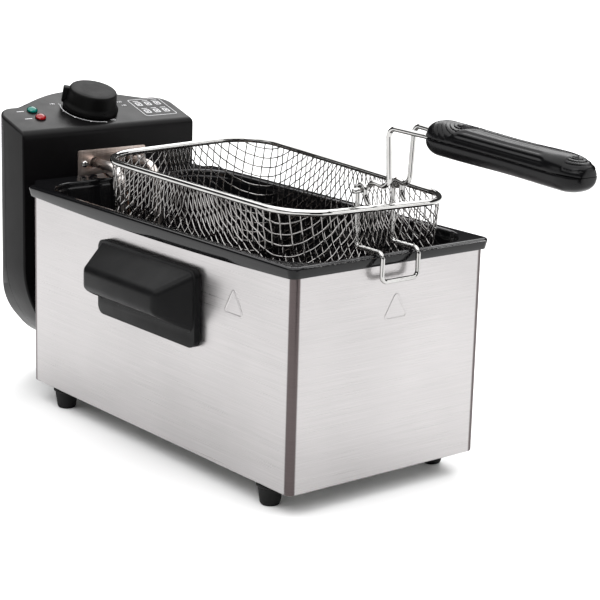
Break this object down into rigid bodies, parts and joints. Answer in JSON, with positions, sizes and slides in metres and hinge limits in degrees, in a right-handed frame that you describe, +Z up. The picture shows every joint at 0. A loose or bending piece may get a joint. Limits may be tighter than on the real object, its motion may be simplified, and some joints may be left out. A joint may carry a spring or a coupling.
{
  "type": "deep fryer",
  "caption": "Deep fryer: brushed steel housing, lift-out enamel oil pot, slide-on control head with immersion element, and wire basket with a folding handle.",
  "frame": {"origin": "centre of the bounding box in plan, on the surface that the feet stand on", "axes": "+Z up, -Y towards the user and the basket's grip, +Y towards the control head, +X to the user's right"},
  "size_m": [0.246, 0.6266, 0.2882],
  "materials": {
    "housing_steel": "brushed along its length",
    "enamel": "glossy black enamel",
    "head_plastic": "satin black",
    "bracket_plastic": "matte black",
    "handle_plastic": "satin black",
    "knob_plastic": "matte black",
    "grip_plastic": "glossy black phenolic",
    "foot_rubber": "matte black",
    "chrome": "bright chrome plate",
    "plate_steel": "heat-tinted brushed steel",
    "element_steel": "satin steel sheath",
    "zinc_steel": "zinc plated",
    "screw_steel": "bright zinc",
    "green_lens": "clear green",
    "red_lens": "clear red",
    "ceramic": "unglazed ceramic",
    "copper": "bare copper"
  },
  "bodies": {
    "housing": {"housing_shell": "housing_steel", "base_plate": "zinc_steel", "foot_front_left": "foot_rubber", "foot_back_left": "foot_rubber", "foot_front_right": "foot_rubber", "foot_back_right": "foot_rubber", "foot_screw_front_left": "screw_steel", "foot_screw_back_left": "screw_steel", "foot_screw_front_right": "screw_steel", "foot_screw_back_right": "screw_steel", "side_handle_left": "handle_plastic", "side_handle_right": "handle_plastic", "handle_screw_front_left": "screw_steel", "handle_screw_back_left": "screw_steel", "handle_screw_front_right": "screw_steel", "handle_screw_back_right": "screw_steel", "slide_bracket": "bracket_plastic", "bracket_screw_lower": "screw_steel", "bracket_screw_upper": "screw_steel"},
    "pot": {"oil_pot": "enamel"},
    "head": {"head_casing": "head_plastic", "head_rear_cover": "head_plastic", "cover_screw_left": "screw_steel", "cover_screw_right": "screw_steel", "cover_screw_bottom": "screw_steel", "cord_gland": "foot_rubber", "slide_tongue": "bracket_plastic", "green_lamp": "green_lens", "red_lamp": "red_lens", "thermostat_body": "ceramic", "element_plate": "plate_steel", "plate_screw_left": "screw_steel", "plate_screw_right": "screw_steel", "heating_element": "element_steel", "element_strap_front": "plate_steel", "element_strap_back": "plate_steel", "temperature_sensor": "copper", "terminal_block": "ceramic", "thermal_cutout": "ceramic", "seat_switch": "bracket_plastic"},
    "dial": {"thermostat_knob": "knob_plastic", "thermostat_shaft": "zinc_steel"},
    "basket": {"basket_rim": "chrome", "basket_mesh": "chrome", "basket_hook": "chrome"},
    "basket_handle": {"handle_wire": "chrome", "grip_upper": "grip_plastic", "grip_lower": "grip_plastic", "grip_screw_near": "screw_steel", "grip_screw_far": "screw_steel"}
  },
  "joints": [
    {"name": "pot_lift", "type": "slide", "parent": "housing", "child": "pot", "axis": [0, 0, 1], "range_m": [0, 0.17]},
    {"name": "head_lift", "type": "slide", "parent": "pot", "child": "head", "axis": [0, 0, 1], "range_m": [0, 0.16]},
    {"name": "dial_turn", "type": "hinge", "parent": "head", "child": "dial", "pos_m": [0, 0.27351, 0.2362], "axis": [0, 0.2957, -0.9553], "range_deg": [0, 270]},
    {"name": "basket_lift", "type": "slide", "parent": "head", "child": "basket", "axis": [0, 0, 1], "range_m": [0, 0.12]},
    {"name": "handle_fold", "type": "hinge", "parent": "basket", "child": "basket_handle", "pos_m": [0, -0.1134, 0.23], "axis": [-1, 0, 0], "range_deg": [0, 180]}
  ]
}
